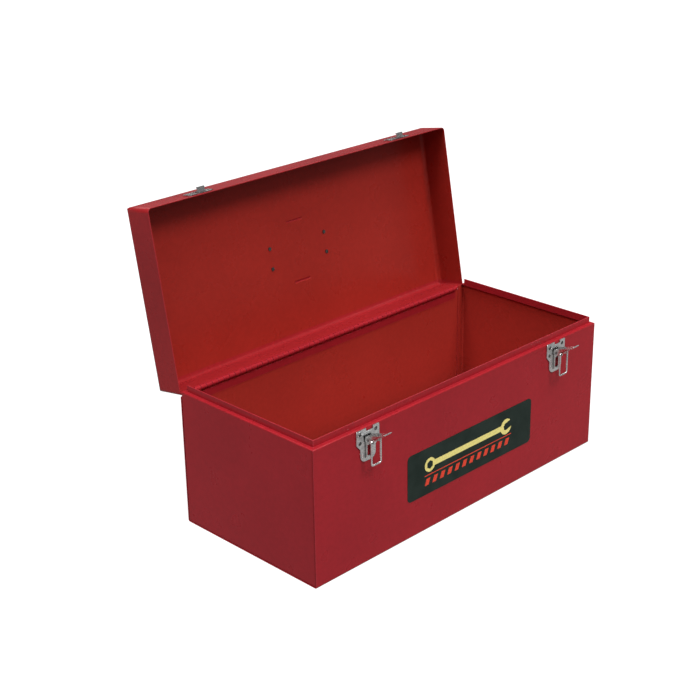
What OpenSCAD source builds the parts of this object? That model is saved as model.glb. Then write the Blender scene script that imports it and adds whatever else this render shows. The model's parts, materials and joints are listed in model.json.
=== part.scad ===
// Portable steel toolbox: folded box, flanged lid on a piano hinge, two draw
// latches, carrying handle and a lift-out tray.
// Origin: middle of the underside. +X along the box, -Y is the latch side, +Z up.
// The lid is drawn open, as it stands against its own stop.

/* [Box] */
// Length of the box
box_l = 500; // [440:5:600]
// Depth of the box, front to back
box_d = 222; // [190:2:280]
// Height of the box, from the underside to the ledge
box_h = 171; // [135:1:240]
// Thickness of the steel sheet
sheet = 1; // [0.8:0.1:1.4]
// Outside radius of the bends along the bottom and ends
bend_r = 2.5; // [2:0.25:4]
// Outside radius of the bend at the ledge
ledge_r = 1.6; // [1.5:0.1:2.5]
// Width of the ledge, from the outer wall to the raised lip
ledge_w = 5; // [4:0.5:8]
// Height of the raised lip above the ledge
lip_h = 8; // [5:0.5:12]
// Width of the weld flanges of the end panels
flange_w = 12; // [8:1:18]

/* [Lid] */
// Height of the closed lid above the ledge
lid_h = 45; // [36:1:70]
// Outside radius of the bends around the lid's top
lid_r = 8; // [4:0.5:11]
// Outside radius of the lid's upright corners
lid_corner_r = 5; // [3:0.5:7]
// Angle of the open lid, measured from closed
lid_open = 100; // [92:1:101]
// Gap between the ledge and the rim of the closed lid
lid_gap = 0.4; // [0.3:0.1:1]

/* [Hinge] */
// Radius of the hinge pin
hinge_pin_r = 1.2; // [1:0.1:1.5]
// Outside radius of the knuckles
knuckle_r = 3; // [2.6:0.1:3.2]
// Length of one knuckle with its gap
knuckle_pitch = 8.75; // [8:0.25:20]
// Gap between neighbouring knuckles
knuckle_gap = 0.8; // [0.5:0.1:1.2]
// Depth of the notches in a leaf beside the other leaf's knuckles
leaf_notch = 2.8; // [1:0.2:4]
// Thickness of the hinge leaves
leaf_t = 0.9; // [0.7:0.1:1.1]
// Reach of each leaf from the pin
leaf_w = 15; // [10:1:22]

/* [Latches] */
// Distance between the two latches
latch_spacing = 336; // [260:2:380]
// Width of a latch's base plate
latch_w = 36; // [32:1:44]
// Height of a latch's base plate
latch_h = 40; // [38:1:48]
// Drop of the lever's pin below the ledge
lever_drop = 14; // [12.5:0.5:18]
// Angle the lever has swung out from closed
lever_open = 108; // [100:1:108]
// Length of the lever below its pin, closed
lever_len = 31; // [28:1:36]
// Half width of the lever
lever_half_w = 5.8; // [5.4:0.2:7]
// Distance of the bail's pivot from the lever's pin
bail_arm = 8; // [7:0.5:9]
// Length of the bail, pivot to crossbar
bail_len = 29; // [27:0.5:32]
// Wire radius of the bail
bail_r = 1.1; // [0.9:0.1:1.3]

/* [Handle] */
// Distance between the two handle clips
clip_spacing = 94; // [80:1:120]
// Distance between the rivets of a clip
clip_rivet_spacing = 26; // [22:1:34]
// Radius of the handle's rod
handle_rod_r = 3; // [2.5:0.25:4]
// Distance from the handle's pivot to the grip
handle_reach = 42; // [40:1:60]
// Radius of the grip
grip_r = 8.5; // [8:0.25:10]
// Length of the grip
grip_l = 98; // [85:1:105]
// Distance of each rest rib from the handle's pivot
rib_y = 39; // [37:0.5:58]
// Length of a rest rib
rib_l = 30; // [20:1:50]

/* [Tray] */
// Length of the tray over its rim
tray_l = 470; // [410:2:560]
// Width of the tray over its rim
tray_w = 194; // [160:2:240]
// Height of the tray
tray_h = 33; // [28:1:60]
// Thickness of the tray's sheet
tray_sheet = 0.8; // [0.6:0.1:1]
// Width of the tray's turned-out rim
tray_rim = 4; // [3:0.5:6]
// Distance between the two dividers
divider_spacing = 210; // [120:5:300]
// Reach of the tray's handle from its pivots
tray_handle_reach = 52; // [45:1:75]
// Rod radius of the tray's handle
tray_rod_r = 2.5; // [2:0.25:3]

/* [Label] */
// Length of the label plate
label_l = 226; // [160:2:280]
// Height of the label plate
label_h = 60; // [40:1:80]
// Sideways place of the label plate's middle
label_x = 10; // [-20:1:20]
// Height of the label plate's middle
label_z = 78; // [65:1:90]

/* [Hidden] */
$fn = 48;

red = [0.60, 0.12, 0.13];
steel = [0.72, 0.73, 0.74];
black = [0.12, 0.13, 0.13];

// Clearances
pin_play = 0.05;
wire_play = 0.1;
body_gap = 0.3;
cut = 1;

// Small rivets of the latches, strikes and tray; large ones of the handle clips
rivet_r = 1.5;
rivet_head_r = 2.6;
rivet_head_h = 0.9;
rivet_tail_h = 0.8;
clip_rivet_r = 1.8;
clip_rivet_head_r = 3.8;
clip_rivet_head_h = 1.8;
clip_rivet_tail_r = 2.3;

// Hinge: the pin lies inside the back wall's outer face and below the ledge
pin_y = box_d/2 - knuckle_r;
pin_z = box_h - knuckle_r;
back_edge = knuckle_r + 0.8;
wall_top_back = pin_z - back_edge;
lid_rim = box_h + lid_gap;
lid_back_rim = pin_z + back_edge;
lid_top = box_h + lid_h;
knuckles = 2*floor((box_l - 26)/knuckle_pitch/2 - 0.5) + 1;
hinge_l = knuckles*knuckle_pitch;
leaf_y = box_d/2 - sheet - leaf_t;

// Rim of the box: everything above joggle_z is mitred at the corners
joggle_z = box_h - ledge_r;
rim_w = ledge_w + sheet;
lip_top = box_h + lip_h;
lip_back = pin_y - knuckle_r - 1;

// Latch, measured from the wall outwards and from the lever's pin up
latch_x = latch_spacing/2;
latch_z = box_h - lever_drop;
latch_sheet = 1.2;
latch_top = lever_drop - 1;
latch_low = latch_top - latch_h;
lever_out = 5.5;
lever_pin_r = 1.4;
ear_half = 3.2;
ear_r = 3.2;
ear_root_half = 2.6;
notch_w = 11;
notch_h = 3.5;
notch_left = 3;
wing_h = 17;
step_h = 7;
foot_w = 24;
foot_r = 8;
rail_out = 3.4;
rail_low = latch_low + 4;
slot_low = latch_low + 5.5;
slot_h = 13;
cheek_t = 1;
cheek_r = 3.7;
web_out = 3.7;
web_top = 1.5;
bail_side = 1.3;
bail_half = lever_half_w + 0.4 + bail_r;
bail_bend = 2.4;
// The bail's ends run from its arms through the lever's cheeks, short of the ears
bail_pivot_bend = bail_r + 0.05;
bail_turn_in = bail_half - bail_pivot_bend - lever_half_w + cheek_t + 0.15;
rivet_x = latch_w/2 - 5.6;
rivet_up = latch_top - 5.5;
rivet_down = rivet_up - 10.5;
// Bail's pivot with the lever swung out, from the lever's pin
bail_y = bail_side*cos(lever_open) - bail_arm*sin(lever_open);
bail_z = bail_arm*-cos(lever_open) - bail_side*sin(lever_open);

// Strike: its ledge carries the bail's crossbar when the latch is closed
strike_ledge = latch_z - bail_arm + bail_len - bail_r - body_gap;
strike_out = 8;
strike_half = bail_half - bail_r - 0.6;
strike_h = 15;
strike_low = strike_ledge - latch_sheet - 1;

// Carrying handle
handle_axis_h = handle_rod_r + body_gap;
handle_tilt = lid_open - 90;
handle_arm_x = clip_spacing/2 + 13;
handle_bend = 7;
clip_w = 14;
clip_t = 1.5;
clip_foot = clip_rivet_spacing/2 + 6;
rib_r = 3;
rib_height = 0.8;

// Tray
tray_floor = 2*sheet + body_gap;
tray_top = tray_floor + tray_h;
tray_y = -3;
tray_wall_x = tray_l/2 - tray_rim;
tray_wall_y = tray_w/2 - tray_rim;
tray_bend = 3;
divider_top = tray_top - 2;
bracket_t = 1.5;
bracket_w = 24;
tray_pivot_z = tray_top + 5;
tray_arm_x = tray_wall_x - tray_sheet - bracket_t - 2 - tray_rod_r;
tray_handle_bend = 8;
tray_bar_z = divider_top + tray_rod_r + body_gap;
tray_handle_tilt = asin((tray_pivot_z - tray_bar_z)/tray_handle_reach);

// ---- Shared shapes ----

// Quarter of a bent sheet in the first quadrant
module quarter_bend(r, t) {
  intersection() {
    difference() {
      circle(r);
      circle(r - t);
    }
    square(r);
  }
}

module rounded_rect(w, d, r) {
  square([w - 2*r, d], center = true);
  square([w, d - 2*r], center = true);
  for (sx = [-1, 1], sy = [-1, 1])
    translate([sx*(w/2 - r), sy*(d/2 - r)]) circle(r);
}

// Rectangle from y0 to y1 with its two upper corners rounded
module arch_rect(w, y0, y1, r) {
  translate([-w/2, y0]) square([w, y1 - y0 - r]);
  translate([-w/2 + r, y0]) square([w - 2*r, y1 - y0]);
  for (s = [-1, 1])
    translate([s*(w/2 - r), y1 - r]) circle(r);
}

// A profile drawn in Y and Z, extruded along X about the middle
module along_x(l) {
  translate([-l/2, 0, 0]) rotate([90, 0, 90]) linear_extrude(l) children();
}

// A profile drawn in X and Z, extruded along Y about the middle
module along_y(l) {
  translate([0, l/2, 0]) rotate([90, 0, 0]) linear_extrude(l) children();
}

module rod_x(r, l) {
  rotate([0, 90, 0]) cylinder(r = r, h = l, center = true);
}

// Rivet along +Y: head on the -Y side of 0, shank through depth, tail behind it
module rivet(shank_r, head_r, head_h, depth, tail_r, tail_h) {
  rotate([-90, 0, 0]) {
    intersection() {
      translate([0, 0, -head_h]) cylinder(r = head_r, h = head_h);
      translate([0, 0, -head_h + head_r*1.4]) sphere(head_r*1.4);
    }
    cylinder(r = shank_r, h = depth);
    translate([0, 0, depth]) cylinder(r = tail_r, h = tail_h);
  }
}

// Wire bail: pivot ends along X, two arms towards -Y, crossbar along X.
// half is the arms' distance from the middle, turn_in the length of each pivot end.
module wire_bail(half, reach, r, bend, turn_in, pivot_bend) {
  for (s = [0, 1]) mirror([s, 0, 0]) {
    translate([half - pivot_bend - turn_in/2, 0, 0]) rod_x(r, turn_in);
    translate([half - pivot_bend, -pivot_bend, 0])
      rotate_extrude(angle = 90) translate([pivot_bend, 0]) circle(r);
    translate([half, -pivot_bend, 0]) rotate([90, 0, 0])
      cylinder(r = r, h = reach - pivot_bend - bend);
    translate([half - bend, -reach + bend, 0]) rotate([0, 0, -90])
      rotate_extrude(angle = 90) translate([bend, 0]) circle(r);
  }
  translate([0, -reach, 0]) rod_x(r, 2*(half - bend));
}

// ---- Box ----

module wrap_profile() {
  translate([-box_d/2, bend_r]) square([sheet, joggle_z - bend_r]);
  translate([-box_d/2 + bend_r, bend_r]) rotate(180) quarter_bend(bend_r, sheet);
  translate([-box_d/2 + bend_r, 0]) square([box_d - 2*bend_r, sheet]);
  translate([box_d/2 - bend_r, bend_r]) rotate(270) quarter_bend(bend_r, sheet);
  translate([box_d/2 - sheet, bend_r]) square([sheet, wall_top_back - bend_r]);
  translate([-box_d/2, 0]) rim_profile();
}

// Ledge and lip, drawn with the outer wall's face at 0 and the inside towards +
module rim_profile() {
  translate([ledge_r, joggle_z]) rotate(90) quarter_bend(ledge_r, sheet);
  translate([ledge_r, box_h - sheet]) square([rim_w - ledge_r, sheet]);
  translate([ledge_w, box_h - sheet]) square([sheet, lip_h + sheet]);
}

// Space over one front corner that belongs to the end panel's rim
module corner_wedge(extra) {
  translate([0, 0, joggle_z])
    linear_extrude(lip_h + 2*ledge_r)
      polygon([[box_l/2, -box_d/2], [box_l/2 - rim_w - extra, -box_d/2 + rim_w + extra],
               [box_l/2 + extra, -box_d/2 + rim_w + extra], [box_l/2 + extra, -box_d/2]]);
}

module body_wrap() {
  color(red) difference() {
    along_x(box_l) wrap_profile();
    for (s = [0, 1]) mirror([s, 0, 0]) corner_wedge(cut);
    for (s = [-1, 1]) latch_rivet_places(s)
      rotate([-90, 0, 0]) cylinder(r = rivet_r, h = 4*sheet, center = true);
  }
}

// Pan of an end panel, with the inset grown by the sheet for its inside
module end_pan(inset) {
  r = bend_r - inset;
  low = sheet + inset;
  intersection() {
    // Its lower corners lie in the bends of the wrap
    along_x(2*box_l) mirror([0, 1])
      arch_rect(box_d - 2*low, -box_h, -low, max(bend_r - low, 0.2));
    translate([box_l/2 - flange_w - inset, -box_d, 0])
      rotate([90, 0, 0]) mirror([0, 0, 1]) linear_extrude(2*box_d) {
        translate([0, low + r]) square([flange_w, joggle_z - low - r + inset]);
        translate([0, low]) square([flange_w - r, joggle_z - low + inset]);
        translate([flange_w - r, low + r]) circle(r);
      }
    translate([box_l/2 - flange_w - inset, 0, 0]) linear_extrude(box_h) {
      translate([0, -box_d/2 + low]) square([flange_w - r, box_d - 2*low]);
      translate([0, -box_d/2 + low + r]) square([flange_w, box_d - 2*low - 2*r]);
      for (s = [-1, 1]) translate([flange_w - r, s*(box_d/2 - low - r)]) circle(r);
    }
  }
}

module end_rim() {
  difference() {
    translate([box_l/2, -sheet/2, 0]) mirror([1, 0, 0])
      along_y(box_d - sheet) rim_profile();
    // Front corner is mitred against the wrap's rim
    translate([0, 0, joggle_z - cut]) linear_extrude(lip_h + 2*ledge_r + cut)
      polygon([[box_l/2, -box_d/2], [box_l/2 - rim_w - cut, -box_d/2 + rim_w + cut],
               [box_l/2 - rim_w - cut, -box_d/2 - cut], [box_l/2, -box_d/2 - cut]]);
    // The lip stops short of the hinge
    translate([box_l/2 - rim_w - cut, lip_back, box_h])
      cube([rim_w + 2*cut, box_d, lip_h + cut]);
    // The ledge ends in a round the lid's end wall can swing past
    translate([box_l/2 - rim_w - cut, pin_y, pin_z]) difference() {
      cube([rim_w + 2*cut, box_d, lip_h + knuckle_r]);
      rotate([0, 90, 0]) cylinder(r = knuckle_r, h = rim_w + 2*cut);
    }
  }
}

module body_end_panel() {
  difference() {
    end_pan(0);
    end_pan(sheet);
  }
  end_rim();
}

module body_end_left() {
  color(red) mirror([1, 0, 0]) body_end_panel();
}

module body_end_right() {
  color(red) body_end_panel();
}

module label_plate() {
  color(black) translate([label_x, -box_d/2, label_z]) rotate([90, 0, 0])
    linear_extrude(0.4) rounded_rect(label_l, label_h, 6);
}

// ---- Hinge: the lid's leaf is the body's leaf turned over the pin ----

module hinge_leaf(first) {
  knuckle_w = knuckle_pitch - knuckle_gap;
  leaf_top = back_edge + leaf_notch;
  difference() {
    union() {
      translate([-hinge_l/2, leaf_y - pin_y, -leaf_w])
        cube([hinge_l, leaf_t, leaf_w - leaf_top]);
      for (i = [first : 2 : knuckles - 1])
        translate([-hinge_l/2 + (i + 0.5)*knuckle_pitch, 0, 0]) {
          rod_x(knuckle_r, knuckle_w);
          translate([-knuckle_w/2, leaf_y - pin_y, -leaf_top])
            cube([knuckle_w, leaf_t, leaf_top]);
        }
    }
    rod_x(hinge_pin_r + pin_play, hinge_l + 2*cut);
  }
}

module hinge_body_leaf() {
  color(steel) translate([0, pin_y, pin_z]) hinge_leaf(0);
}

module hinge_pin() {
  color(steel) translate([0, pin_y, pin_z]) rod_x(hinge_pin_r, hinge_l + 1);
}

// Swings closed lid parts open about the hinge pin
module open_lid() {
  translate([0, pin_y, pin_z]) rotate([-lid_open, 0, 0])
    translate([0, -pin_y, -pin_z]) children();
}

module hinge_lid_leaf() {
  color(steel) open_lid() translate([0, pin_y, pin_z]) mirror([0, 0, 1]) hinge_leaf(1);
}

// ---- Lid ----

module lid_block(inset, low) {
  r = lid_r - inset;
  intersection() {
    translate([0, 0, low]) linear_extrude(lid_h + cut)
      rounded_rect(box_l - 2*inset, box_d - 2*inset, lid_corner_r - inset);
    along_x(box_l) arch_rect(box_d - 2*inset, low, lid_top - inset, r);
    along_y(box_d) arch_rect(box_l - 2*inset, low, lid_top - inset, r);
  }
}

module rib(r, l) {
  rod_x(r, l - 2*r);
  for (s = [-1, 1]) translate([s*(l/2 - r), 0, 0]) sphere(r);
}

module closed_lid() {
  difference() {
    union() {
      difference() {
        lid_block(0, lid_rim);
        lid_block(sheet, lid_rim - cut);
      }
      intersection() {
        for (s = [-1, 1]) translate([0, s*rib_y, lid_top + rib_height - rib_r]) rib(rib_r, rib_l);
        translate([0, 0, lid_top - sheet]) linear_extrude(rib_height + 2*sheet)
          square([rib_l, 2*rib_y + 4*rib_r], center = true);
      }
    }
    for (s = [-1, 1]) translate([0, s*rib_y, lid_top + rib_height - rib_r])
      rib(rib_r - sheet, rib_l - 2*sheet);
    // The back rim stands clear of the hinge's knuckles
    translate([-box_l, box_d/2 - lid_corner_r, 0])
      cube([2*box_l, 2*lid_corner_r, lid_back_rim]);
    clip_rivet_places() cylinder(r = clip_rivet_r, h = 6*sheet, center = true);
    strike_rivet_places() rotate([90, 0, 0]) cylinder(r = rivet_r, h = 4*sheet, center = true);
  }
}

module lid_shell() {
  color(red) open_lid() closed_lid();
}

// ---- Latches ----

module latch_place(s) {
  translate([s*latch_x, -box_d/2, latch_z]) children();
}

module latch_rivet_places(s) {
  latch_place(s)
    for (x = [-rivet_x, rivet_x], z = [rivet_up, rivet_down]) translate([x, 0, z]) children();
}

// Wide wings for the rivets, stepped in to a narrow foot with a round end
module latch_plate_outline() {
  wing_low = latch_top - wing_h;
  step_low = wing_low - step_h;
  difference() {
    union() {
      arch_rect(latch_w, wing_low, latch_top, 2);
      polygon([[-latch_w/2, wing_low], [-foot_w/2, step_low], [foot_w/2, step_low],
               [latch_w/2, wing_low]]);
      mirror([0, 1]) arch_rect(foot_w, -step_low - cut, -latch_low, foot_r);
    }
    // Notch in the top edge
    translate([-notch_left, latch_top - notch_h]) square([notch_w, notch_h + cut]);
    // Slot between the rails
    translate([-ear_half, slot_low]) square([2*ear_half, slot_h]);
  }
}

module latch_base() {
  difference() {
    union() {
      rotate([90, 0, 0]) linear_extrude(latch_sheet) latch_plate_outline();
      for (s = [-1, 1]) translate([s*(ear_half + latch_sheet/2), -lever_out, 0]) {
        rod_x(ear_r, latch_sheet);
        translate([-latch_sheet/2, 0, -ear_root_half])
          cube([latch_sheet, lever_out, 2*ear_root_half]);
        // Low rail that runs down the plate as a guide for the closed lever
        translate([-latch_sheet/2, lever_out - rail_out, rail_low])
          cube([latch_sheet, rail_out, -rail_low]);
      }
    }
    translate([0, -lever_out, 0]) rod_x(lever_pin_r, 4*latch_w);
    for (x = [-rivet_x, rivet_x], z = [rivet_up, rivet_down])
      translate([x, 0, z]) rotate([90, 0, 0]) cylinder(r = rivet_r, h = 6, center = true);
  }
}

module latch_base_left() {
  color(steel) latch_place(-1) latch_base();
}

module latch_base_right() {
  color(steel) latch_place(1) latch_base();
}

module latch_pin() {
  translate([0, -lever_out, 0]) rod_x(lever_pin_r, 2*lever_half_w);
}

module latch_pin_left() {
  color(steel) latch_place(-1) latch_pin();
}

module latch_pin_right() {
  color(steel) latch_place(1) latch_pin();
}

module latch_rivets(s) {
  color(steel) latch_rivet_places(s) translate([0, -latch_sheet, 0])
    rivet(rivet_r, rivet_head_r, rivet_head_h, latch_sheet + sheet, rivet_head_r, rivet_tail_h);
}

module latch_rivets_left() {
  latch_rivets(-1);
}

module latch_rivets_right() {
  latch_rivets(1);
}

// Closed lever about its pin: cheeks beside the ears, web outside, tab at the foot
module closed_lever() {
  tab_r = 9;
  web_low = -lever_len + 7;
  difference() {
    union() {
      for (s = [-1, 1]) translate([s*(lever_half_w - cheek_t/2), 0, 0]) {
        rod_x(cheek_r, cheek_t);
        translate([0, bail_side, -bail_arm]) rod_x(2.5, cheek_t);
        along_x(cheek_t) polygon([[-web_out - cheek_t, web_top], [0, cheek_r], [cheek_r, 0],
          [bail_side + 2.5, -bail_arm], [bail_side, -bail_arm - 2.5],
          [-web_out - cheek_t, web_low]]);
      }
      translate([-lever_half_w, -web_out - cheek_t, web_low])
        cube([2*lever_half_w, cheek_t, web_top - web_low]);
      // Finger tab curls away from the wall
      translate([0, -web_out - cheek_t - tab_r + cheek_t, web_low]) rotate([90, 0, 90])
        linear_extrude(2*lever_half_w, center = true) intersection() {
          difference() {
            circle(tab_r);
            circle(tab_r - cheek_t);
          }
          polygon([[0, 0], [2*tab_r, 0], [2*tab_r, -1.7*tab_r]]);
        }
    }
    rod_x(lever_pin_r + pin_play, 4*latch_w);
    translate([0, bail_side, -bail_arm]) rod_x(bail_r + wire_play, 4*latch_w);
  }
}

module latch_lever(s) {
  color(steel) latch_place(s) translate([0, -lever_out, 0]) rotate([-lever_open, 0, 0])
    closed_lever();
}

module latch_lever_left() {
  latch_lever(-1);
}

module latch_lever_right() {
  latch_lever(1);
}

module latch_bail(s) {
  color(steel) latch_place(s) translate([0, -lever_out + bail_y, bail_z])
    rotate([90, 0, 0])
      wire_bail(bail_half, bail_len, bail_r, bail_bend, bail_turn_in, bail_pivot_bend);
}

module latch_bail_left() {
  latch_bail(-1);
}

module latch_bail_right() {
  latch_bail(1);
}

// ---- Strikes on the lid's front wall ----

module strike_rivet_places() {
  for (s = [-1, 1], x = [-rivet_x, rivet_x])
    translate([s*latch_x + x, -box_d/2, strike_ledge + 4.5]) children();
}

module strike(s) {
  color(steel) open_lid() translate([s*latch_x, -box_d/2, 0]) {
    difference() {
      rotate([90, 0, 0]) linear_extrude(latch_sheet) translate([0, strike_low])
        difference() {
          translate([0, strike_h/2]) rounded_rect(latch_w, strike_h, 3);
          // Window that the hook was folded out of
          translate([-strike_half, strike_ledge - strike_low])
            square([2*strike_half, strike_out]);
        }
      for (x = [-rivet_x, rivet_x]) translate([x, 0, strike_ledge + 4.5])
        rotate([90, 0, 0]) cylinder(r = rivet_r, h = 6, center = true);
    }
    translate([-strike_half, -strike_out, strike_ledge - latch_sheet])
      cube([2*strike_half, strike_out - latch_sheet/2, latch_sheet]);
    translate([-strike_half, -strike_out, strike_ledge - latch_sheet])
      cube([2*strike_half, latch_sheet, latch_sheet + 0.8]);
  }
}

module strike_left() {
  strike(-1);
}

module strike_right() {
  strike(1);
}

module strike_rivets() {
  color(steel) open_lid() strike_rivet_places() translate([0, -latch_sheet, 0])
    rivet(rivet_r, rivet_head_r, rivet_head_h, latch_sheet + sheet, rivet_head_r, rivet_tail_h);
}

// ---- Carrying handle ----

module clip_rivet_places() {
  for (sx = [-1, 1], sy = [-1, 1])
    translate([sx*clip_spacing/2, sy*clip_rivet_spacing/2, lid_top]) children();
}

module clip_profile() {
  loop_r = handle_rod_r + wire_play;
  difference() {
    union() {
      translate([-loop_r - clip_t, 0]) square([2*(loop_r + clip_t), handle_axis_h]);
      translate([0, handle_axis_h]) circle(loop_r + clip_t);
      translate([-clip_foot, 0]) square([2*clip_foot, clip_t]);
    }
    translate([0, handle_axis_h]) circle(loop_r);
    translate([-loop_r, -cut]) square([2*loop_r, handle_axis_h + cut]);
    translate([-clip_foot, -2*clip_t - loop_r]) square([2*clip_foot, 2*clip_t + loop_r]);
  }
}

module handle_clip(s) {
  color(steel) open_lid() difference() {
    translate([s*clip_spacing/2, 0, lid_top]) along_x(clip_w) clip_profile();
    clip_rivet_places() cylinder(r = clip_rivet_r, h = 6*sheet, center = true);
  }
}

module handle_clip_left() {
  handle_clip(-1);
}

module handle_clip_right() {
  handle_clip(1);
}

module handle_clip_rivets() {
  color(steel) open_lid() clip_rivet_places() translate([0, 0, clip_t]) rotate([-90, 0, 0])
    rivet(clip_rivet_r, clip_rivet_head_r, clip_rivet_head_h, clip_t + sheet, clip_rivet_tail_r, 1);
}

// Places handle parts, drawn flat with the grip towards -Y, hanging from the clips
module hang_handle() {
  open_lid() translate([0, 0, lid_top + handle_axis_h]) rotate([handle_tilt, 0, 0])
    mirror([0, 1, 0]) children();
}

module handle_rod() {
  color(steel) hang_handle()
    wire_bail(handle_arm_x, handle_reach, handle_rod_r, handle_bend, clip_w + 8, 4);
}

module handle_grip() {
  color(black) hang_handle() translate([0, -handle_reach, 0]) difference() {
    union() {
      rod_x(grip_r - 1, grip_l);
      rod_x(grip_r, grip_l - 8);
      for (s = [-1, 1]) translate([s*(grip_l/2 - 4), 0, 0]) rotate([0, 90, 0])
        rotate_extrude() translate([grip_r - 1, 0]) circle(1);
    }
    rod_x(handle_rod_r, grip_l + 2*cut);
  }
}

// ---- Tray ----

module tray_block(inset, low) {
  r = tray_bend - inset;
  w = 2*(tray_wall_x - inset);
  d = 2*(tray_wall_y - inset);
  intersection() {
    linear_extrude(tray_h + 2*cut) rounded_rect(w, d, r);
    along_x(w) mirror([0, 1]) arch_rect(d, -tray_h - 2*cut, -low, r);
    along_y(d) mirror([0, 1]) arch_rect(w, -tray_h - 2*cut, -low, r);
  }
}

module tray_pan() {
  color(red) translate([0, tray_y, tray_floor]) difference() {
    union() {
      intersection() {
        tray_block(0, 0);
        linear_extrude(tray_h) square([tray_l, tray_w], center = true);
      }
      translate([0, 0, tray_h - tray_sheet]) linear_extrude(tray_sheet)
        rounded_rect(tray_l, tray_w, tray_bend + tray_rim);
    }
    tray_block(tray_sheet, tray_sheet);
    tray_rivet_places() rotate([0, 90, 0]) cylinder(r = rivet_r, h = 4*bracket_t, center = true);
  }
}

module tray_divider(s) {
  wall = tray_wall_y - tray_sheet;
  wall_h = divider_top - tray_floor - tray_sheet;
  color(red) translate([s*divider_spacing/2, tray_y, tray_floor + tray_sheet]) {
    along_x(tray_sheet) mirror([0, 1]) arch_rect(2*wall, -wall_h, 0, tray_bend - tray_sheet);
    translate([-tray_sheet/2, -wall + tray_bend, 0]) cube([10, 2*(wall - tray_bend), tray_sheet]);
  }
}

module tray_divider_left() {
  tray_divider(-1);
}

module tray_divider_right() {
  tray_divider(1);
}

// Two rivets through each end wall, below the rim; drawn from the tray's floor
module tray_rivet_places() {
  for (s = [0, 1], y = [-7, 7]) mirror([s, 0, 0])
    translate([tray_wall_x, y, tray_h - 12]) children();
}

module tray_bracket(s) {
  inner = tray_wall_x - tray_sheet;
  low = tray_h - 18;
  up = tray_pivot_z - tray_floor;
  color(steel) translate([0, tray_y, tray_floor]) mirror([s, 0, 0]) difference() {
    translate([inner - bracket_t, 0, 0]) rotate([90, 0, 90]) linear_extrude(bracket_t) {
      polygon([[-bracket_w/2, low], [bracket_w/2, low], [bracket_w/2, tray_h], [5, up + 3],
               [-5, up + 3], [-bracket_w/2, tray_h]]);
      translate([0, up]) circle(6);
    }
    translate([inner, 0, up]) rod_x(tray_rod_r + wire_play, 8*bracket_t);
    tray_rivet_places() rotate([0, 90, 0]) cylinder(r = rivet_r, h = 8*bracket_t, center = true);
  }
}

module tray_bracket_left() {
  tray_bracket(1);
}

module tray_bracket_right() {
  tray_bracket(0);
}

module tray_bracket_rivets() {
  depth = tray_sheet + bracket_t;
  color(steel) translate([0, tray_y, tray_floor]) tray_rivet_places() rotate([0, 0, 90])
    rivet(rivet_r, rivet_head_r, rivet_head_h, depth, rivet_head_r, rivet_tail_h);
}

// The handle's ends turn outwards into the brackets
module tray_handle_rod() {
  arm = tray_handle_reach - tray_handle_bend;
  ends = tray_wall_x - tray_sheet - tray_arm_x - 0.6;
  color(steel) translate([0, tray_y, tray_pivot_z]) rotate([tray_handle_tilt, 0, 0]) {
    for (s = [0, 1]) mirror([s, 0, 0]) {
      translate([tray_arm_x, 0, 0]) rotate([0, 90, 0]) cylinder(r = tray_rod_r, h = ends);
      translate([tray_arm_x, 0, 0]) sphere(tray_rod_r);
      translate([tray_arm_x, 0, 0]) rotate([90, 0, 0]) cylinder(r = tray_rod_r, h = arm);
      translate([tray_arm_x - tray_handle_bend, -arm, 0]) rotate([0, 0, -90])
        rotate_extrude(angle = 90) translate([tray_handle_bend, 0]) circle(tray_rod_r);
    }
    translate([0, -tray_handle_reach, 0]) rod_x(tray_rod_r, 2*(tray_arm_x - tray_handle_bend));
  }
}

body_wrap();
body_end_left();
body_end_right();
hinge_body_leaf();
hinge_pin();
latch_base_left();
latch_base_right();
latch_pin_left();
latch_pin_right();
latch_rivets_left();
latch_rivets_right();
label_plate();
lid_shell();
hinge_lid_leaf();
strike_left();
strike_right();
strike_rivets();
handle_clip_left();
handle_clip_right();
handle_clip_rivets();
latch_lever_left();
latch_lever_right();
latch_bail_left();
latch_bail_right();
handle_rod();
handle_grip();
tray_pan();
tray_divider_left();
tray_divider_right();
tray_bracket_left();
tray_bracket_right();
tray_bracket_rivets();
tray_handle_rod();
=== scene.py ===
"""Looks of the steel toolbox: enamel, zinc, label emblem, moulded grip, soft studio light and camera."""
import json
import math

import bmesh
import bpy
from mathutils import Matrix, Quaternion, Vector


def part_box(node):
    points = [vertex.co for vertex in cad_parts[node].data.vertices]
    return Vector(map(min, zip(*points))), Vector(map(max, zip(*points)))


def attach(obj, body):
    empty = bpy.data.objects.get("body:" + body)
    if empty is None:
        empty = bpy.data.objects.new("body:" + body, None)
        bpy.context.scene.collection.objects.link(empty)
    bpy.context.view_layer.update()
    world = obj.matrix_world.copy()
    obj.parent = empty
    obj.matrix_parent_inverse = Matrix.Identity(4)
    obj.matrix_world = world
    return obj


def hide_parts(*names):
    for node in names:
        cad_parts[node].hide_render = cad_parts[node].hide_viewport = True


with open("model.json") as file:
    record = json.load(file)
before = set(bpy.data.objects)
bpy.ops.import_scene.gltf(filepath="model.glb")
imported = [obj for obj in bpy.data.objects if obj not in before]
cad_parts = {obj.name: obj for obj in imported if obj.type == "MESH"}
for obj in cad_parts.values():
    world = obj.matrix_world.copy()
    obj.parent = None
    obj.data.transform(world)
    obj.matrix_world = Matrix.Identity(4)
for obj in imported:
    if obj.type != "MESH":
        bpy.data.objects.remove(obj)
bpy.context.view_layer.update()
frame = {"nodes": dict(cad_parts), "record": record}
MM = 0.001

# Camera, from the matched view of the box: place in metres, line of sight, roll and lens
CAMERA_PLACE = Vector((-1.1879, -1.1132, 0.8608))
CAMERA_SIGHT = Vector((0.64988, 0.65437, -0.38659))
CAMERA_ROLL = math.radians(-0.87)
SENSOR_MM = 36
LENS_MM = 74.54

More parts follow.
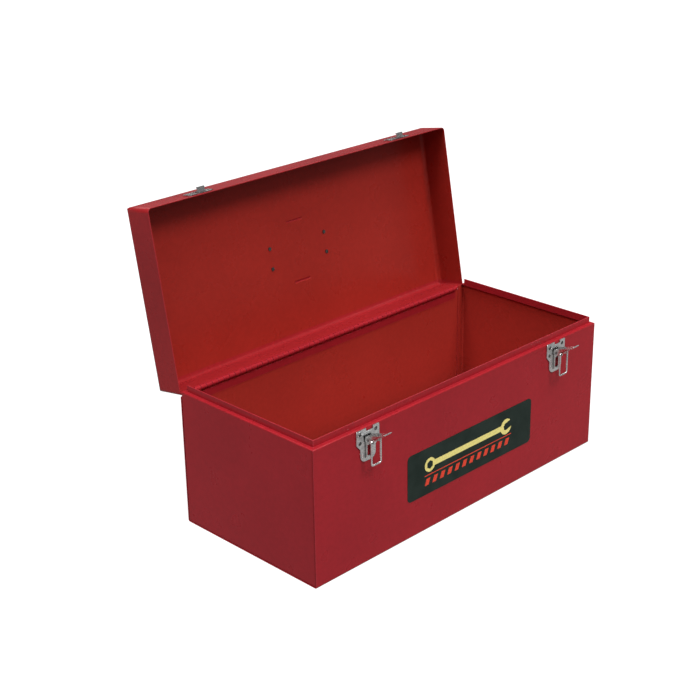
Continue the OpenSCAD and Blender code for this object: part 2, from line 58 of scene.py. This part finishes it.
# Studio: the sun lamps are wide, so they stand in for large softboxes; strengths in W/m2.
# Turns are from the front, positive towards the right.
SOFTBOXES = {"side_softbox": {"strength": 1.00, "rise_deg": 45, "turn_deg": -90, "width_deg": 20},
             "low_softbox": {"strength": 0.25, "rise_deg": 30, "turn_deg": 0, "width_deg": 24},
             "front_softbox": {"strength": 1.90, "rise_deg": 50, "turn_deg": 0, "width_deg": 22},
             "high_softbox": {"strength": 0.85, "rise_deg": 70, "turn_deg": -50, "width_deg": 24},
             "top_softbox": {"strength": 0.60, "rise_deg": 90, "turn_deg": 0, "width_deg": 60},
             "rear_softbox": {"strength": 0.55, "rise_deg": 35, "turn_deg": 150, "width_deg": 40}}
# Surroundings from straight below (0) over the horizon (0.5) to straight above (1)
SKY_STRENGTH = 0.35
SKY_PALE = (1.05, 1.05, 1.05)
SKY_DIM = (0.06, 0.06, 0.07)
SKY_TOP = (1.00, 1.05, 1.10)
SKY_STOPS = ((0.00, SKY_PALE), (0.44, SKY_PALE), (0.53, SKY_DIM), (0.64, SKY_DIM), (0.86, SKY_TOP))
FLOOR_SIDE = 60.0
FLOOR_COLOUR = (0.25, 0.25, 0.25)
FLOOR_GLOW = 0.86

# Enamel outside, with a painted cool reflection in its colour, and warmer copies inside the box and the
# lid that are painted red bounce light
ENAMEL_OUTER_PAINTED_SHEEN = (0.375, 0.0150, 0.0225)
ENAMEL_INNER_PAINTED_BOUNCE = (0.410, 0.0310, 0.0215)
ENAMEL_LID_OUTER_PAINTED_SHEEN = (0.350, 0.0165, 0.0200)
ENAMEL_LID_INNER_PAINTED_BOUNCE = (0.345, 0.0215, 0.0145)
# Lighter pink on sharp edges: thin paint there, together with a painted highlight
ENAMEL_EDGE_THIN_PAINT_AND_HIGHLIGHT = (0.54, 0.050, 0.075)
SPECKLE_DARK = (0.93, 0.93, 0.93)
SPECKLE_LIGHT = (1.05, 1.05, 1.05)
ZINC = (0.92, 0.91, 0.89)
ZINC_SHADE = (0.72, 0.72, 0.72)
RIVET_GREY = (0.22, 0.21, 0.20)
RIVET_SHADE = (0.10, 0.10, 0.10)
GRIP_BLACK = (0.018, 0.018, 0.019)
GRIP_GREY = (0.035, 0.035, 0.036)
LABEL_BLACK = (0.012, 0.022, 0.017)
LABEL_SHADE = (0.020, 0.032, 0.026)
PRINT_GOLD = (0.95, 0.82, 0.27)
PRINT_RED = (0.85, 0.065, 0.030)


# ---- Camera, floor and light ----

def make_camera():
    data = bpy.data.cameras.new("camera")
    data.sensor_width = SENSOR_MM
    data.lens = LENS_MM
    camera = bpy.data.objects.new("camera", data)
    camera.location = CAMERA_PLACE
    camera.rotation_mode = "QUATERNION"
    aim = CAMERA_SIGHT.to_track_quat("-Z", "Y")
    camera.rotation_quaternion = aim @ Quaternion((0, 0, 1), CAMERA_ROLL)
    bpy.context.scene.collection.objects.link(camera)
    bpy.context.scene.camera = camera


def make_softboxes():
    for name, spec in SOFTBOXES.items():
        data = bpy.data.lights.new(name, "SUN")
        data.energy = spec["strength"]
        data.angle = math.radians(spec["width_deg"])
        rise = math.radians(spec["rise_deg"])
        turn = math.radians(spec["turn_deg"])
        level = math.cos(rise)
        toward = Vector((level*math.sin(turn), -level*math.cos(turn), math.sin(rise)))
        lamp = bpy.data.objects.new(name, data)
        lamp.rotation_mode = "QUATERNION"
        lamp.rotation_quaternion = toward.to_track_quat("Z", "Y")
        bpy.context.scene.collection.objects.link(lamp)


def set_stops(ramp, stops):
    """Places and colours of a colour ramp node, which has two stops when new."""
    elements = ramp.color_ramp.elements
    while len(elements) < len(stops):
        elements.new(0.5)
    for element, (position, colour) in zip(elements, stops):
        element.position = position
        element.color = (*colour, 1)


def make_sky():
    """Light floor and ceiling and dim walls, so that bare metal has something to reflect."""
    world = bpy.data.worlds.new("studio")
    world.use_nodes = True
    tree = world.node_tree
    background = tree.nodes["Background"]
    background.inputs["Strength"].default_value = SKY_STRENGTH
    place = tree.nodes.new("ShaderNodeTexCoord")
    split = tree.nodes.new("ShaderNodeSeparateXYZ")
    height = tree.nodes.new("ShaderNodeMapRange")
    height.inputs["From Min"].default_value = -1.0
    ramp = tree.nodes.new("ShaderNodeValToRGB")
    set_stops(ramp, SKY_STOPS)
    tree.links.new(place.outputs["Generated"], split.inputs["Vector"])
    tree.links.new(split.outputs["Z"], height.inputs["Value"])
    tree.links.new(height.outputs["Result"], ramp.inputs["Fac"])
    tree.links.new(ramp.outputs["Color"], background.inputs["Color"])
    bpy.context.scene.world = world


def make_floor():
    """Pale floor with a faint mottle and a glow of its own."""
    mesh = bpy.data.meshes.new("floor")
    bm = bmesh.new()
    bmesh.ops.create_grid(bm, x_segments=4, y_segments=4, size=FLOOR_SIDE/2)
    bm.to_mesh(mesh)
    bm.free()
    floor = bpy.data.objects.new("floor", mesh)
    bpy.context.scene.collection.objects.link(floor)
    look = Look("studio_floor")
    look.set(Roughness=0.9, Specular_IOR_Level=0.1)
    look.set(Emission_Color=(1, 1, 1, 1), Emission_Strength=FLOOR_GLOW)
    look.paint([(0.3, FLOOR_COLOUR), (0.7, dimmed(FLOOR_COLOUR, 0.985))], scale=3, detail=3)
    mesh.materials.append(look.material)
    # The bright floor is a backdrop: it neither lights the object from below nor shows in its gloss
    floor.visible_diffuse = False
    floor.visible_glossy = False


# ---- Materials ----

def dimmed(colour, factor):
    return tuple(factor*part for part in colour)


class Look:
    """A node material whose textures follow the piece's own metres."""

    def __init__(self, name):
        self.material = bpy.data.materials.new(name)
        self.material.use_nodes = True
        self.tree = self.material.node_tree
        self.shader = self.tree.nodes["Principled BSDF"]
        self.place = self.tree.nodes.new("ShaderNodeTexCoord").outputs["Object"]
        self.normal = None

    def set(self, **values):
        """Constants of the shader; an underscore stands for a space in a socket's name."""
        for name, value in values.items():
            self.shader.inputs[name.replace("_", " ")].default_value = value

    def feed(self, source, socket):
        """Links another node's output to a socket, or sets the socket to a number, vector or colour."""
        if isinstance(source, bpy.types.NodeSocket):
            self.tree.links.new(source, socket)
        elif socket.type == "RGBA":
            socket.default_value = (*source, 1)
        else:
            socket.default_value = source

    def colour(self, source):
        self.feed(source, self.shader.inputs["Base Color"])

    def noise(self, scale, detail):
        node = self.tree.nodes.new("ShaderNodeTexNoise")
        node.inputs["Scale"].default_value = scale
        node.inputs["Detail"].default_value = detail
        self.feed(self.place, node.inputs["Vector"])
        return node.outputs["Fac"]

    def ramp(self, factor, stops):
        node = self.tree.nodes.new("ShaderNodeValToRGB")
        set_stops(node, stops)
        self.feed(factor, node.inputs["Fac"])
        return node.outputs["Color"]

    def paint(self, stops, scale, detail):
        """Base colour that drifts between stops."""
        self.colour(self.ramp(self.noise(scale, detail), stops))

    def spread(self, source, low, high, start=0.3, end=0.7):
        """Turns start..end of the source into low..high."""
        node = self.tree.nodes.new("ShaderNodeMapRange")
        node.inputs["From Min"].default_value = start
        node.inputs["From Max"].default_value = end
        node.inputs["To Min"].default_value = low
        node.inputs["To Max"].default_value = high
        self.feed(source, node.inputs["Value"])
        return node.outputs["Result"]

    def rough(self, low, high, scale):
        """Roughness that drifts between low and high."""
        haze = self.noise(scale, detail=4)
        self.feed(self.spread(haze, low, high), self.shader.inputs["Roughness"])

    def bump(self, scale, detail, depth_mm):
        """Adds noisy relief over whatever relief the look has so far."""
        node = self.tree.nodes.new("ShaderNodeBump")
        node.inputs["Strength"].default_value = 1.0
        node.inputs["Distance"].default_value = depth_mm*MM
        self.feed(self.noise(scale, detail), node.inputs["Height"])
        if self.normal is not None:
            self.feed(self.normal, node.inputs["Normal"])
        self.normal = node.outputs["Normal"]
        self.feed(self.normal, self.shader.inputs["Normal"])

    def mix(self, factor, a, b, blend="MIX"):
        node = self.tree.nodes.new("ShaderNodeMix")
        node.data_type = "RGBA"
        node.blend_type = blend
        for source, socket in ((factor, 0), (a, 6), (b, 7)):
            self.feed(source, node.inputs[socket])
        return node.outputs[2]

    def drift(self, colour):
        """Slow change of a paint's depth with a fine speckle over it."""
        cloud = self.noise(scale=7, detail=5)
        speckle = self.noise(scale=210, detail=4)
        slow = self.ramp(cloud, [(0.34, dimmed(colour, 0.88)), (0.62, colour)])
        fine = self.ramp(speckle, [(0.30, SPECKLE_DARK), (0.70, SPECKLE_LIGHT)])
        return self.mix(1.0, slow, fine, "MULTIPLY")

    def vector(self, operation, a, b=(0, 0, 0)):
        node = self.tree.nodes.new("ShaderNodeVectorMath")
        node.operation = operation
        self.feed(a, node.inputs[0])
        self.feed(b, node.inputs[1])
        return node.outputs["Value" if operation in ("LENGTH", "DOT_PRODUCT") else "Vector"]

    def outside(self, low, high, radius, turned=None):
        """0 in the rounded block between two corners and 1 beyond it, with the turned joint closed."""
        place = self.place
        if turned is not None:
            spin = self.tree.nodes.new("ShaderNodeVectorRotate")
            spin.rotation_type = "AXIS_ANGLE"
            spin.inputs["Center"].default_value = turned["pos_m"]
            spin.inputs["Axis"].default_value = turned["axis"]
            spin.inputs["Angle"].default_value = math.radians(turned["range_deg"][0])
            self.feed(place, spin.inputs["Vector"])
            place = spin.outputs["Vector"]
        middle = tuple((a + b)/2 for a, b in zip(low, high))
        core = tuple((b - a)/2 - radius for a, b in zip(low, high))
        reach = self.vector("ABSOLUTE", self.vector("SUBTRACT", place, middle))
        beyond = self.vector("MAXIMUM", self.vector("SUBTRACT", reach, core), (0, 0, 0))
        step = self.tree.nodes.new("ShaderNodeMath")
        step.operation = "GREATER_THAN"
        step.inputs[1].default_value = radius
        self.feed(self.vector("LENGTH", beyond), step.inputs[0])
        return step.outputs["Value"]

    def edge_mask(self, radius_mm):
        """1 on sharp edges, 0 on flats: how far a rounded normal leans from the true one."""
        bevel = self.tree.nodes.new("ShaderNodeBevel")
        bevel.samples = 4
        bevel.inputs["Radius"].default_value = radius_mm*MM
        true_normal = self.tree.nodes.new("ShaderNodeNewGeometry").outputs["Normal"]
        lean = self.vector("DOT_PRODUCT", bevel.outputs["Normal"], true_normal)
        return self.spread(lean, 0.0, 1.0, start=0.98, end=0.80)

    def crevice_shade_mask(self, reach_mm):
        """0 in folds and beside rivets, where painted shade darkens them, and 1 on open faces."""
        node = self.tree.nodes.new("ShaderNodeAmbientOcclusion")
        node.samples = 6
        node.inputs["Distance"].default_value = reach_mm*MM
        return self.spread(node.outputs["AO"], 0.0, 1.0, start=0.35, end=0.85)


def enamel(name, roughness, outer=ENAMEL_OUTER_PAINTED_SHEEN, inner=None, inside=None):
    """Sprayed gloss enamel: drift, speckle, slight oil-canning, orange peel, and thin paint with a
    painted highlight on edges.

    An inside colour turns a rounded block into a warmer copy, painted red light bounced inside; the
    outer colours hold a painted cool reflection; inside holds outside()'s values.
    """
    look = Look(name)
    look.set(Specular_IOR_Level=0.18)
    tone_and_painted_light = look.drift(outer)
    # Painted light: the warmer copy in the block stands for red light bounced inside, the cooler colour
    # beyond it for a reflected veil
    if inner is not None:
        tone_and_painted_light = look.mix(look.outside(**inside), look.drift(inner), tone_and_painted_light)
    # Sharp edges turn lighter pink: thin paint and a painted highlight
    look.colour(look.mix(look.edge_mask(radius_mm=0.7), tone_and_painted_light, ENAMEL_EDGE_THIN_PAINT_AND_HIGHLIGHT))
    look.rough(roughness - 0.05, roughness + 0.07, scale=24)
    look.bump(scale=5, detail=1, depth_mm=0.55)
    look.bump(scale=620, detail=2, depth_mm=0.012)
    return look.material


def zinc(name, shade, colour):
    """Zinc plate with mottling, fine grain, faint handling marks and painted shade in its folds."""
    look = Look(name)
    look.set(Metallic=1.0)
    plate = look.ramp(look.noise(scale=260, detail=6), [(0.35, shade), (0.60, colour)])
    # Painted shade: folds and the sides of rivets darken towards a near-black copy of the plate
    look.colour(look.mix(look.crevice_shade_mask(reach_mm=3.5), dimmed(shade, 0.16), plate))
    look.rough(0.18, 0.33, scale=900)
    look.bump(scale=1500, detail=3, depth_mm=0.010)
    look.bump(scale=120, detail=2, depth_mm=0.03)
    return look.material


def grip_plastic():
    look = Look("grip_plastic_look")
    look.set(Specular_IOR_Level=0.45)
    look.paint([(0.40, GRIP_BLACK), (0.70, GRIP_GREY)], scale=420, detail=4)
    look.rough(0.42, 0.60, scale=300)
    look.bump(scale=1700, detail=3, depth_mm=0.04)
    return look.material


def label_film():
    look = Look("label_look")
    look.set(Specular_IOR_Level=0.12)
    look.paint([(0.38, LABEL_BLACK), (0.66, LABEL_SHADE)], scale=40, detail=6)
    look.rough(0.28, 0.42, scale=60)
    look.bump(scale=300, detail=2, depth_mm=0.01)
    return look.material


def print_ink(name, colour):
    look = Look(name)
    look.set(Specular_IOR_Level=0.2)
    look.paint([(0.35, dimmed(colour, 0.86)), (0.60, colour)], scale=500, detail=4)
    look.rough(0.34, 0.48, scale=700)
    look.bump(scale=1400, detail=2, depth_mm=0.006)
    return look.material


# ---- Sheet edges and materials of the CAD nodes ----

SHEETS = ("body_wrap", "body_end_left", "body_end_right", "lid_shell", "tray_pan",
          "tray_divider_left", "tray_divider_right", "tray_bracket_left", "tray_bracket_right",
          "latch_base_left", "latch_base_right", "latch_lever_left", "latch_lever_right",
          "strike_left", "strike_right", "handle_clip_left", "handle_clip_right", "label_plate")
EDGE_BREAK = 0.22*MM
HALF_SHEET = 0.5*MM


def soften_edges(piece):
    """Joins the mesh's split corners, then breaks its sharp edges as painted sheet has them."""
    weld = piece.modifiers.new("join", "WELD")
    weld.merge_threshold = 0.002*MM
    bevel = piece.modifiers.new("break_edges", "BEVEL")
    bevel.width = EDGE_BREAK
    bevel.segments = 2
    bevel.limit_method = "ANGLE"
    bevel.angle_limit = math.radians(40)
    bevel.harden_normals = True


def closed_corners(name, joint):
    """Lowest and highest corner of a node once its joint is turned to its low end."""
    pin = Vector(joint["pos_m"])
    turn = Matrix.Rotation(math.radians(joint["range_deg"][0]), 3, Vector(joint["axis"]))
    points = [turn @ (vertex.co - pin) + pin for vertex in frame["nodes"][name].data.vertices]
    return (Vector([min(point[i] for point in points) for i in range(3)]),
            Vector([max(point[i] for point in points) for i in range(3)]))


def box_enamel():
    """The painted bounce light inside begins half a sheet in from the outer faces and ends under the
    ledge.
    """
    low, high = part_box("body_wrap")
    ledge_depth = 9.4*MM
    block = {"low": low + Vector((HALF_SHEET, HALF_SHEET, HALF_SHEET)),
             "high": high - Vector((HALF_SHEET, HALF_SHEET, ledge_depth)),
             "radius": 2.0*MM}
    return enamel("box_enamel", 0.30, ENAMEL_OUTER_PAINTED_SHEEN, ENAMEL_INNER_PAINTED_BOUNCE, block)


def lid_enamel():
    """The painted bounce light inside the lid covers the panel and the walls, except the back wall and
    its bend.
    """
    joint = next(row for row in frame["record"]["behaviour"]["joints"] if row["name"] == "lid_hinge")
    low, high = closed_corners("lid_shell", joint)
    past_rim = 20*MM
    back_wall = 3.5*MM
    rib_height = 0.8*MM
    block = {"low": low + Vector((HALF_SHEET, HALF_SHEET, -past_rim)),
             "high": high - Vector((HALF_SHEET, back_wall, rib_height + HALF_SHEET)),
             "radius": 7.5*MM,
             "turned": joint}
    return enamel("lid_enamel", 0.28, ENAMEL_LID_OUTER_PAINTED_SHEEN, ENAMEL_LID_INNER_PAINTED_BOUNCE, block)


def dress_cad_nodes():
    """Gives each CAD node its material and the sheets their broken edges."""
    by_slot = {"red_paint": enamel("tray_enamel", 0.32),
               "hinge_steel": enamel("hinge_enamel", 0.34),
               "zinc_steel": zinc("zinc_plate", ZINC_SHADE, ZINC),
               "grip_plastic": grip_plastic(),
               "label": label_film()}
    by_node = dict.fromkeys(("body_wrap", "body_end_left", "body_end_right"), box_enamel())
    by_node["lid_shell"] = lid_enamel()
    rivets = zinc("zinc_rivets", RIVET_SHADE, RIVET_GREY)
    for row in frame["record"]["subparts"]:
        name = row["node"]
        node = frame["nodes"][name]
        look = rivets if "_rivets" in name else by_slot[row["material_slot"]]
        node.data.materials.clear()
        node.data.materials.append(by_node.get(name, look))
        if name in SHEETS:
            soften_edges(node)
    return by_slot


# ---- Label emblem: a spanner over a rule and a row of slanted bars ----

def arc(centre, radius, start_deg, end_deg, steps=24):
    turns = [math.radians(start_deg + (end_deg - start_deg)*i/steps) for i in range(steps + 1)]
    return [(centre[0] + radius*math.cos(turn), centre[1] + radius*math.sin(turn)) for turn in turns]


def flat_piece(name, outlines, base, thickness, material, body):
    """Flat print with its middle in the label's face: outlines in millimetres in X and Z about base."""
    curve = bpy.data.curves.new(name, "CURVE")
    curve.dimensions = "2D"
    curve.fill_mode = "BOTH"
    curve.extrude = thickness/2
    for outline in outlines:
        spline = curve.splines.new("POLY")
        spline.points.add(len(outline) - 1)
        for point, (x, z) in zip(spline.points, outline):
            point.co = (x*MM, z*MM, 0, 1)
        spline.use_cyclic_u = True
    flat = bpy.data.objects.new(name + "_outline", curve)
    bpy.context.scene.collection.objects.link(flat)
    mesh = bpy.data.meshes.new_from_object(flat)
    bpy.data.objects.remove(flat)
    mesh.transform(Matrix.Translation(base) @ Matrix.Rotation(math.radians(90), 4, "X"))
    piece = bpy.data.objects.new(name, mesh)
    bpy.context.scene.collection.objects.link(piece)
    mesh.materials.clear()
    mesh.materials.append(material)
    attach(piece, body)


def spanner_outlines(left, right, head_r, ring_r, shank_half):
    """Combination spanner lying along X: ring end at left, open jaw at right."""
    ring_x = left + ring_r
    jaw_x = right - head_r
    jaw_half = 0.46*head_r
    jaw_tilt = 15
    jaw_front = -0.10*head_r
    jaw_root = -0.42*head_r
    jaw_open = math.degrees(math.asin(jaw_half/head_r))
    ring_neck = math.degrees(math.asin(shank_half/ring_r))
    head_neck = math.degrees(math.asin(shank_half/head_r))
    tilt = math.radians(jaw_tilt)

    def in_jaw(along, across):
        return (jaw_x + along*math.cos(tilt) - across*math.sin(tilt),
                along*math.sin(tilt) + across*math.cos(tilt))

    outline = arc((ring_x, 0), ring_r, ring_neck, 360 - ring_neck, steps=48)
    outline += arc((jaw_x, 0), head_r, head_neck - 180, jaw_tilt - jaw_open)
    outline += [in_jaw(jaw_front, -jaw_half), in_jaw(jaw_root, -jaw_half/2),
                in_jaw(jaw_root, jaw_half/2), in_jaw(jaw_front, jaw_half)]
    outline += arc((jaw_x, 0), head_r, jaw_tilt + jaw_open, 180 - head_neck)
    hexagon = arc((ring_x, 0), 0.62*ring_r, 30, 330, steps=5)
    return [outline, hexagon]


def slanted_bar(x, z, width, height, slant):
    return [(x, z), (x + width, z), (x + width + slant, z + height), (x + slant, z + height)]


def make_emblem():
    low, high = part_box("label_plate")
    width = (high.x - low.x)/MM
    height = (high.z - low.z)/MM
    face = Vector(((low.x + high.x)/2, low.y, (low.z + high.z)/2))
    thickness = 0.10*MM
    left = -0.37*width
    right = 0.33*width

    spanner_z = 0.12*height
    head_r = 0.17*height
    ring_r = 0.15*height
    shank_half = 0.06*height
    outlines = spanner_outlines(left, right, head_r, ring_r, shank_half)
    spanner = [[(x, z + spanner_z) for x, z in outline] for outline in outlines]
    flat_piece("label_spanner", spanner, face, thickness, print_ink("print_gold", PRINT_GOLD), "box")

    bars = 12
    pitch = (right - left)/bars
    bar_z = -0.30*height
    bar_height = 0.14*height
    rule_z = -0.10*height
    rule_height = 1.1
    row = [slanted_bar(left, rule_z, right - left, rule_height, 0)]
    row += [slanted_bar(left + i*pitch, bar_z, pitch/2, bar_height, pitch/4) for i in range(bars)]
    flat_piece("label_bars", row, face, thickness, print_ink("print_red", PRINT_RED), "box")


# ---- Moulded grip ----

def make_grip(material):
    """Hollow moulded grip on the handle's rod: rolled collars, finger swells and fine flutes."""
    low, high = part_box("handle_grip")
    centre = (low + high)/2
    half = (high.x - low.x)/2
    outer = (high.z - low.z)/2
    bore = 3.0*MM
    collar = 5.0*MM
    collar_drop = 1.2*MM
    fade_length = 3.0*MM
    flute_depth = 0.28*MM
    flutes = 24
    swell_depth = 0.55*MM
    swells = 4
    around = 96
    along = 110

    def outer_radius(x, angle):
        edge = half - abs(x)
        if edge < collar:
            return outer - collar_drop*(1 - math.sin(math.pi*edge/collar))**2
        waist = swell_depth*0.5*(1 + math.cos(math.pi*swells*x/(half - collar)))
        flute = flute_depth*0.5*(1 + math.cos(flutes*angle))
        fade = min((edge - collar)/fade_length, 1)
        return outer - fade*(waist + flute)

    def bore_radius(x, angle):
        return bore

    bm = bmesh.new()

    def ring(x, radius):
        """Vertices around the rod at x from the grip's middle."""
        verts = []
        for j in range(around):
            angle = math.tau*j/around
            r = radius(x, angle)
            place = (centre.x + x, centre.y + r*math.cos(angle), centre.z + r*math.sin(angle))
            verts.append(bm.verts.new(place))
        return verts

    rings = [ring((2*i/along - 1)*half, outer_radius) for i in range(along + 1)]
    rings += [ring(half, bore_radius), ring(-half, bore_radius)]
    for first, second in zip(rings, rings[1:] + rings[:1]):
        for j in range(around):
            k = (j + 1) % around
            bm.faces.new((first[j], first[k], second[k], second[j]))
    bmesh.ops.recalc_face_normals(bm, faces=bm.faces)
    for face in bm.faces:
        face.smooth = True
    mesh = bpy.data.meshes.new("moulded_grip")
    bm.to_mesh(mesh)
    bm.free()
    mesh.materials.append(material)
    grip = bpy.data.objects.new("moulded_grip", mesh)
    bpy.context.scene.collection.objects.link(grip)
    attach(grip, "handle")
    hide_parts("handle_grip")


bpy.context.scene.view_settings.view_transform = "Standard"
make_camera()
make_sky()
make_softboxes()
make_floor()
looks = dress_cad_nodes()
make_emblem()
make_grip(looks["grip_plastic"])
